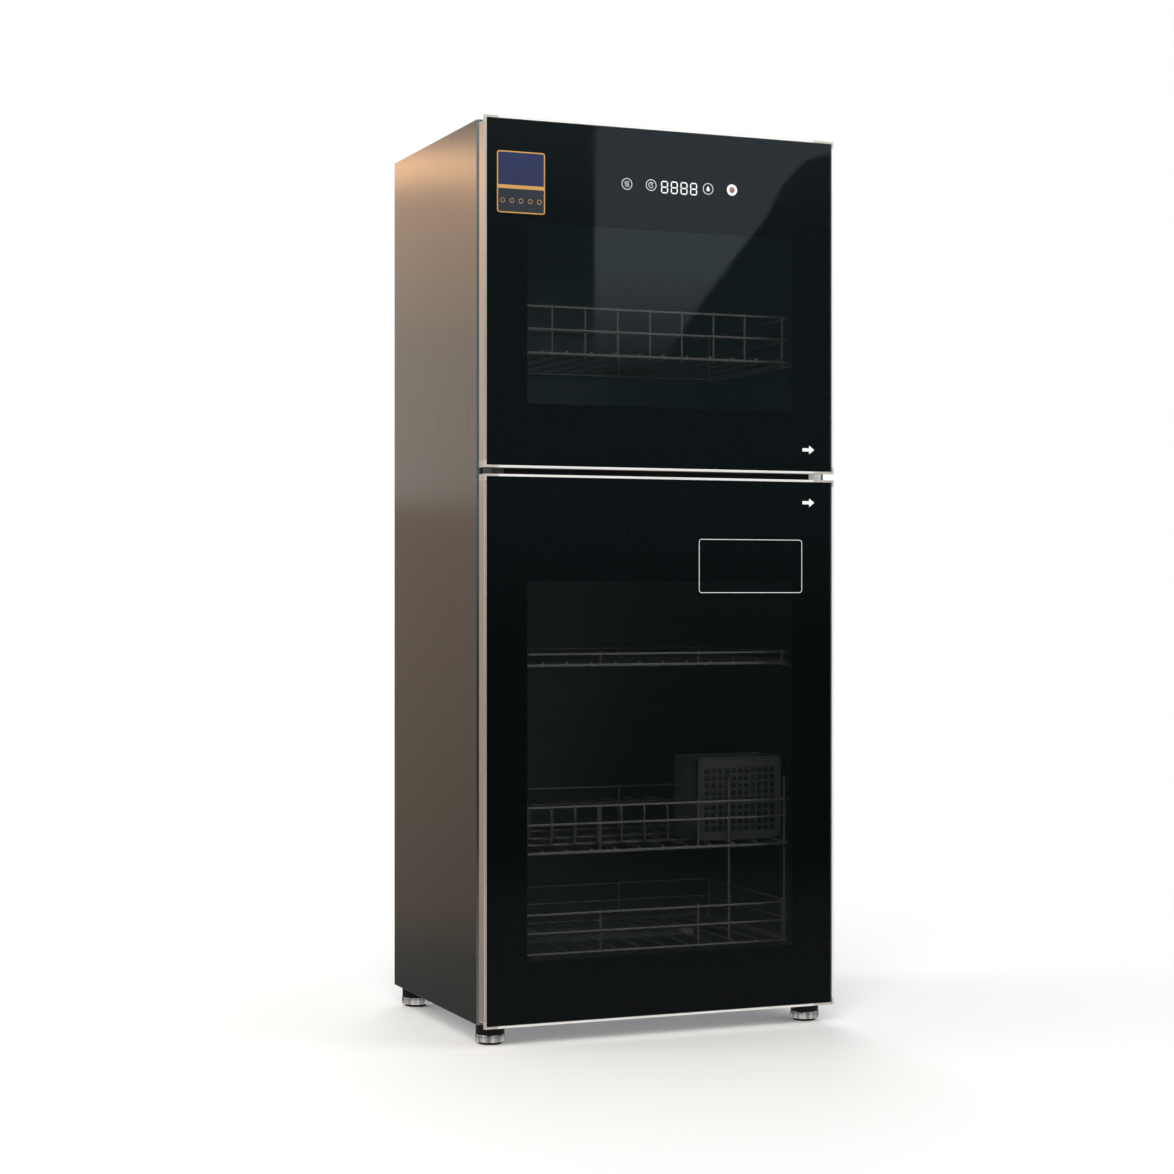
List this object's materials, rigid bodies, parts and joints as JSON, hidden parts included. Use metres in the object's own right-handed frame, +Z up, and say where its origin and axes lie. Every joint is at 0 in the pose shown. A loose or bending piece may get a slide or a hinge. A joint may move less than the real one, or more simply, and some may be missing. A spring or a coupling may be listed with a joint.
{
  "type": "dish sterilizer cabinet",
  "caption": "Tall free-standing dish sterilizer cabinet with two dark glass doors hinged on the left, wire racks on wall runners, a lattice cutlery basket, a lamp and a heating tube.",
  "frame": {"origin": "centre of the underside of the feet", "axes": "+Z up, -Y out of the doors, +X to the right seen from the front"},
  "size_m": [0.43, 0.3286, 1.022],
  "materials": {
    "side_steel": "satin, vertical grain",
    "frame_metal": "satin polished stainless",
    "rear_sheet": "zinc-coated sheet",
    "black_steel": "black powder coat",
    "liner_steel": "fine satin",
    "rack_wire": "chrome plated wire",
    "hinge_metal": "die-cast zinc, grey",
    "bolt_steel": "zinc plated",
    "door_glass": "dark tinted tempered glass with a black printed border",
    "corner_plastic": "moulded, brown grey",
    "gasket_rubber": "soft magnetic seal",
    "black_plastic": "moulded",
    "board_green": "circuit board",
    "display_black": "seven segment digits",
    "foot_rubber": "matt",
    "foot_chrome": "polished",
    "quartz": "clear quartz",
    "ceramic": "white ceramic",
    "white_plastic": "moulded",
    "bright_aluminium": "bright rolled",
    "basket_plastic": "moulded, dark grey"
  },
  "bodies": {
    "cabinet": {"back_panel": "rear_sheet", "bottom_hinge_bracket": "hinge_metal", "bottom_panel": "rear_sheet", "cord_gland": "black_plastic", "foot_discs": "black_plastic", "foot_pads": "foot_rubber", "foot_rings": "foot_chrome", "front_bottom_rail": "black_steel", "front_middle_rail": "black_steel", "front_top_rail": "black_steel", "heater_brackets": "liner_steel", "heater_ends": "ceramic", "heater_reflector": "bright_aluminium", "heater_tube": "quartz", "hinge_pins": "bolt_steel", "left_side_panel": "side_steel", "lower_liner": "liner_steel", "middle_hinge_bracket": "hinge_metal", "power_board": "board_green", "power_box": "black_plastic", "rack_runners": "liner_steel", "right_side_panel": "side_steel", "shelf_strips": "liner_steel", "top_hinge_bracket": "hinge_metal", "top_panel": "side_steel", "upper_liner": "liner_steel", "uv_lamp_holders": "white_plastic", "uv_lamp_trough": "bright_aluminium", "uv_lamp_tube": "quartz"},
    "upper_door": {"upper_door_bottom_rail": "frame_metal", "upper_door_gasket": "gasket_rubber", "upper_door_glass": "door_glass", "upper_door_grip_corners": "corner_plastic", "upper_door_grip_stile": "frame_metal", "upper_door_hinge_corners": "corner_plastic", "upper_door_hinge_stile": "frame_metal", "upper_door_top_rail": "frame_metal", "control_housing": "black_plastic", "touch_board": "board_green", "digit_display": "display_black"},
    "lower_door": {"lower_door_bottom_rail": "frame_metal", "lower_door_gasket": "gasket_rubber", "lower_door_glass": "door_glass", "lower_door_grip_corners": "corner_plastic", "lower_door_grip_stile": "frame_metal", "lower_door_hinge_corners": "corner_plastic", "lower_door_hinge_stile": "frame_metal", "lower_door_top_rail": "frame_metal"},
    "upper_rack": {"upper_rack": "rack_wire"},
    "glass_rack": {"glass_rack": "rack_wire"},
    "lower_racks": {"plate_rack": "rack_wire", "cup_rack": "rack_wire", "rack_uprights": "rack_wire"},
    "cutlery_basket": {"cutlery_basket": "basket_plastic"},
    "drip_tray": {"drip_tray": "liner_steel"}
  },
  "joints": [
    {"name": "upper_door_hinge", "type": "hinge", "parent": "cabinet", "child": "upper_door", "pos_m": [-0.208, -0.15485, 0.8293], "axis": [0, 0, -1], "range_deg": [0, 110]},
    {"name": "lower_door_hinge", "type": "hinge", "parent": "cabinet", "child": "lower_door", "pos_m": [-0.208, -0.15485, 0.3257], "axis": [0, 0, -1], "range_deg": [0, 110]},
    {"name": "upper_rack_slide", "type": "slide", "parent": "cabinet", "child": "upper_rack", "axis": [0, -1, 0], "range_m": [0, 0.125]},
    {"name": "glass_rack_slide", "type": "slide", "parent": "cabinet", "child": "glass_rack", "axis": [0, -1, 0], "range_m": [0, 0.125]},
    {"name": "lower_racks_slide", "type": "slide", "parent": "cabinet", "child": "lower_racks", "axis": [0, -1, 0], "range_m": [0, 0.125]},
    {"name": "drip_tray_slide", "type": "slide", "parent": "cabinet", "child": "drip_tray", "axis": [0, -1, 0], "range_m": [0, 0.125]},
    {"name": "basket_lift", "type": "slide", "parent": "lower_racks", "child": "cutlery_basket", "axis": [0, 0, 1], "range_m": [0, 0.075]}
  ],
  "couplings": [
    {"joint": "upper_rack_slide", "follows": "upper_door_hinge", "m_per_rad": 0.065},
    {"joint": "glass_rack_slide", "follows": "lower_door_hinge", "m_per_rad": 0.065},
    {"joint": "lower_racks_slide", "follows": "lower_door_hinge", "m_per_rad": 0.065},
    {"joint": "drip_tray_slide", "follows": "lower_door_hinge", "m_per_rad": 0.065}
  ]
}
